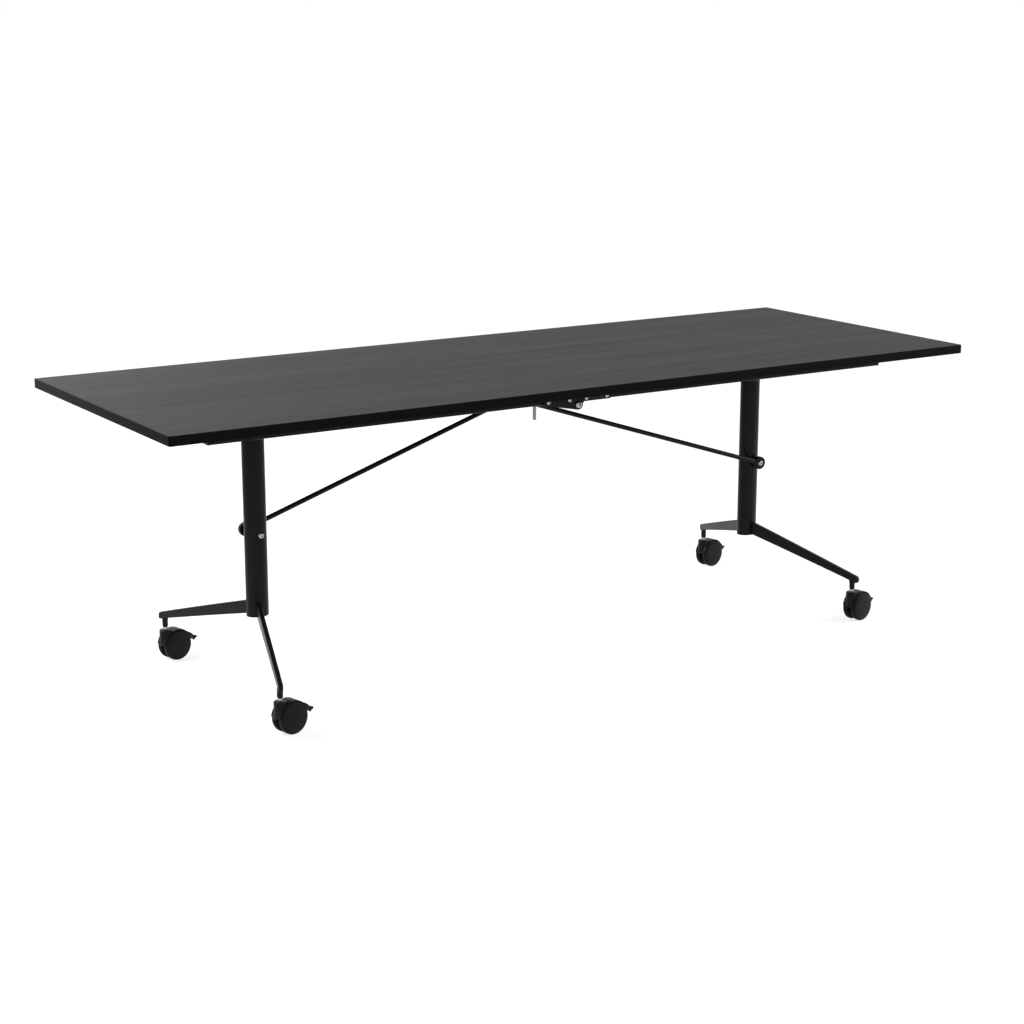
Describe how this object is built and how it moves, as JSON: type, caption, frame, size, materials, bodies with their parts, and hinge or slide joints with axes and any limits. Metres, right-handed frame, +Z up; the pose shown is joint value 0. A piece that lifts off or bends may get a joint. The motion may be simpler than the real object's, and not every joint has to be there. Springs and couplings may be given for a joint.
{
  "type": "folding training table",
  "caption": "Long mobile training table that folds in the middle: two grey worktop halves on T-legs with splayed feet, crossed struts and braked twin-wheel castors.",
  "frame": {"origin": "on the floor below the middle of the worktop", "axes": "+X along the table's length, -Y at the front where the latch handle hangs, +Z up"},
  "size_m": [2.2, 0.8, 0.72],
  "materials": {
    "worktop_laminate": "matt laminate with a fine wood grain along the length",
    "edge_band": "black edging, eased edges",
    "powder_coat": "satin black powder coat",
    "zinc_plate": "dull zinc plate",
    "bright_steel": "bright nickel plate",
    "castor_nylon": "moulded black nylon",
    "castor_wheel": "moulded black polymer, slightly grey discs"
  },
  "bodies": {
    "left_leg": {"left_cross_tube": "powder_coat", "left_column": "powder_coat", "left_front_foot_arm": "powder_coat", "left_rear_foot_arm": "powder_coat", "left_front_castor_stem": "bright_steel", "left_rear_castor_stem": "bright_steel"},
    "left_top": {"left_top_panel": "worktop_laminate", "left_edge_band": "edge_band", "left_front_rail": "powder_coat", "left_rear_rail": "powder_coat", "left_inner_crossbar": "powder_coat", "left_outer_crossbar": "powder_coat", "left_front_pivot_bracket": "powder_coat", "left_rear_pivot_bracket": "powder_coat", "front_hinge_left_leaf": "powder_coat", "rear_hinge_left_leaf": "powder_coat", "left_latch_strap": "powder_coat", "left_clevis_bolt": "zinc_plate", "front_hinge_bolt": "bright_steel", "rear_hinge_bolt": "bright_steel"},
    "left_strut": {"left_strut": "powder_coat", "left_strut_screw": "bright_steel"},
    "right_leg": {"right_cross_tube": "powder_coat", "right_column": "powder_coat", "right_front_foot_arm": "powder_coat", "right_rear_foot_arm": "powder_coat", "right_front_castor_stem": "bright_steel", "right_rear_castor_stem": "bright_steel"},
    "right_top": {"right_top_panel": "worktop_laminate", "right_edge_band": "edge_band", "right_front_rail": "powder_coat", "right_rear_rail": "powder_coat", "right_inner_crossbar": "powder_coat", "right_outer_crossbar": "powder_coat", "right_front_pivot_bracket": "powder_coat", "right_rear_pivot_bracket": "powder_coat", "front_hinge_right_leaf": "powder_coat", "rear_hinge_right_leaf": "powder_coat", "right_latch_strap": "powder_coat", "right_clevis_bolt": "zinc_plate"},
    "right_strut": {"right_strut": "powder_coat", "right_strut_screw": "bright_steel"},
    "latch": {"latch_bolt": "zinc_plate", "latch_handle": "zinc_plate"},
    "left_front_castor": {"left_front_castor_housing": "castor_nylon"},
    "left_front_castor_wheel_near": {"left_front_castor_wheel_near": "castor_wheel"},
    "left_front_castor_wheel_far": {"left_front_castor_wheel_far": "castor_wheel"},
    "left_front_castor_brake": {"left_front_castor_brake_lever": "castor_nylon"},
    "left_rear_castor": {"left_rear_castor_housing": "castor_nylon"},
    "left_rear_castor_wheel_near": {"left_rear_castor_wheel_near": "castor_wheel"},
    "left_rear_castor_wheel_far": {"left_rear_castor_wheel_far": "castor_wheel"},
    "left_rear_castor_brake": {"left_rear_castor_brake_lever": "castor_nylon"},
    "right_front_castor": {"right_front_castor_housing": "castor_nylon"},
    "right_front_castor_wheel_near": {"right_front_castor_wheel_near": "castor_wheel"},
    "right_front_castor_wheel_far": {"right_front_castor_wheel_far": "castor_wheel"},
    "right_front_castor_brake": {"right_front_castor_brake_lever": "castor_nylon"},
    "right_rear_castor": {"right_rear_castor_housing": "castor_nylon"},
    "right_rear_castor_wheel_near": {"right_rear_castor_wheel_near": "castor_wheel"},
    "right_rear_castor_wheel_far": {"right_rear_castor_wheel_far": "castor_wheel"},
    "right_rear_castor_brake": {"right_rear_castor_brake_lever": "castor_nylon"}
  },
  "joints": [
    {"name": "fold", "type": "hinge", "parent": "left_leg", "child": "left_top", "pos_m": [-0.727, 0, 0.6602], "axis": [0, -1, 0], "range_deg": [0, 80]},
    {"name": "centre_hinge", "type": "hinge", "parent": "left_top", "child": "right_top", "pos_m": [0, 0, 0.6532], "axis": [0, 1, 0], "range_deg": [0, 160]},
    {"name": "right_leg_pivot", "type": "hinge", "parent": "right_top", "child": "right_leg", "pos_m": [0.727, 0, 0.6602], "axis": [0, -1, 0], "range_deg": [0, 80]},
    {"name": "right_strut_pivot", "type": "hinge", "parent": "left_top", "child": "right_strut", "pos_m": [-0.116, -0.036, 0.6602], "axis": [0, 1, 0], "range_deg": [0, 141.2]},
    {"name": "left_strut_pivot", "type": "hinge", "parent": "right_top", "child": "left_strut", "pos_m": [0.116, 0.036, 0.6602], "axis": [0, -1, 0], "range_deg": [0, 141.2]},
    {"name": "latch_slide", "type": "slide", "parent": "left_top", "child": "latch", "axis": [1, 0, 0], "range_m": [0, 0.04]},
    {"name": "left_front_castor_swivel", "type": "hinge", "parent": "left_leg", "child": "left_front_castor", "pos_m": [-0.828, -0.32, 0.08], "axis": [0, 0, 1], "continuous": true},
    {"name": "left_front_castor_wheel_near_roll", "type": "hinge", "parent": "left_front_castor", "child": "left_front_castor_wheel_near", "pos_m": [-0.80257, -0.31459, 0.0375], "axis": [-0.2079, 0.9781, 0], "continuous": true},
    {"name": "left_front_castor_wheel_far_roll", "type": "hinge", "parent": "left_front_castor", "child": "left_front_castor_wheel_far", "pos_m": [-0.80257, -0.31459, 0.0375], "axis": [-0.2079, 0.9781, 0], "continuous": true},
    {"name": "left_front_castor_brake_press", "type": "hinge", "parent": "left_front_castor", "child": "left_front_castor_brake", "pos_m": [-0.76379, -0.30635, 0.05515], "axis": [-0.2079, 0.9781, 0], "range_deg": [0, 20]},
    {"name": "left_rear_castor_swivel", "type": "hinge", "parent": "left_leg", "child": "left_rear_castor", "pos_m": [-0.828, 0.32, 0.08], "axis": [0, 0, 1], "continuous": true},
    {"name": "left_rear_castor_wheel_near_roll", "type": "hinge", "parent": "left_rear_castor", "child": "left_rear_castor_wheel_near", "pos_m": [-0.80257, 0.32541, 0.0375], "axis": [-0.2079, 0.9781, 0], "continuous": true},
    {"name": "left_rear_castor_wheel_far_roll", "type": "hinge", "parent": "left_rear_castor", "child": "left_rear_castor_wheel_far", "pos_m": [-0.80257, 0.32541, 0.0375], "axis": [-0.2079, 0.9781, 0], "continuous": true},
    {"name": "left_rear_castor_brake_press", "type": "hinge", "parent": "left_rear_castor", "child": "left_rear_castor_brake", "pos_m": [-0.76379, 0.33365, 0.05515], "axis": [-0.2079, 0.9781, 0], "range_deg": [0, 20]},
    {"name": "right_front_castor_swivel", "type": "hinge", "parent": "right_leg", "child": "right_front_castor", "pos_m": [0.828, -0.32, 0.08], "axis": [0, 0, 1], "continuous": true},
    {"name": "right_front_castor_wheel_near_roll", "type": "hinge", "parent": "right_front_castor", "child": "right_front_castor_wheel_near", "pos_m": [0.85343, -0.31459, 0.0375], "axis": [-0.2079, 0.9781, 0], "continuous": true},
    {"name": "right_front_castor_wheel_far_roll", "type": "hinge", "parent": "right_front_castor", "child": "right_front_castor_wheel_far", "pos_m": [0.85343, -0.31459, 0.0375], "axis": [-0.2079, 0.9781, 0], "continuous": true},
    {"name": "right_front_castor_brake_press", "type": "hinge", "parent": "right_front_castor", "child": "right_front_castor_brake", "pos_m": [0.89221, -0.30635, 0.05515], "axis": [-0.2079, 0.9781, 0], "range_deg": [0, 20]},
    {"name": "right_rear_castor_swivel", "type": "hinge", "parent": "right_leg", "child": "right_rear_castor", "pos_m": [0.828, 0.32, 0.08], "axis": [0, 0, 1], "continuous": true},
    {"name": "right_rear_castor_wheel_near_roll", "type": "hinge", "parent": "right_rear_castor", "child": "right_rear_castor_wheel_near", "pos_m": [0.85343, 0.32541, 0.0375], "axis": [-0.2079, 0.9781, 0], "continuous": true},
    {"name": "right_rear_castor_wheel_far_roll", "type": "hinge", "parent": "right_rear_castor", "child": "right_rear_castor_wheel_far", "pos_m": [0.85343, 0.32541, 0.0375], "axis": [-0.2079, 0.9781, 0], "continuous": true},
    {"name": "right_rear_castor_brake_press", "type": "hinge", "parent": "right_rear_castor", "child": "right_rear_castor_brake", "pos_m": [0.89221, 0.33365, 0.05515], "axis": [-0.2079, 0.9781, 0], "range_deg": [0, 20]}
  ],
  "couplings": [
    {"joint": "centre_hinge", "follows": "fold", "ratio": 2},
    {"joint": "right_leg_pivot", "follows": "fold", "ratio": 1},
    {"joint": "right_strut_pivot", "follows": "fold", "ratio": 1.7643},
    {"joint": "left_strut_pivot", "follows": "fold", "ratio": 1.7643}
  ]
}
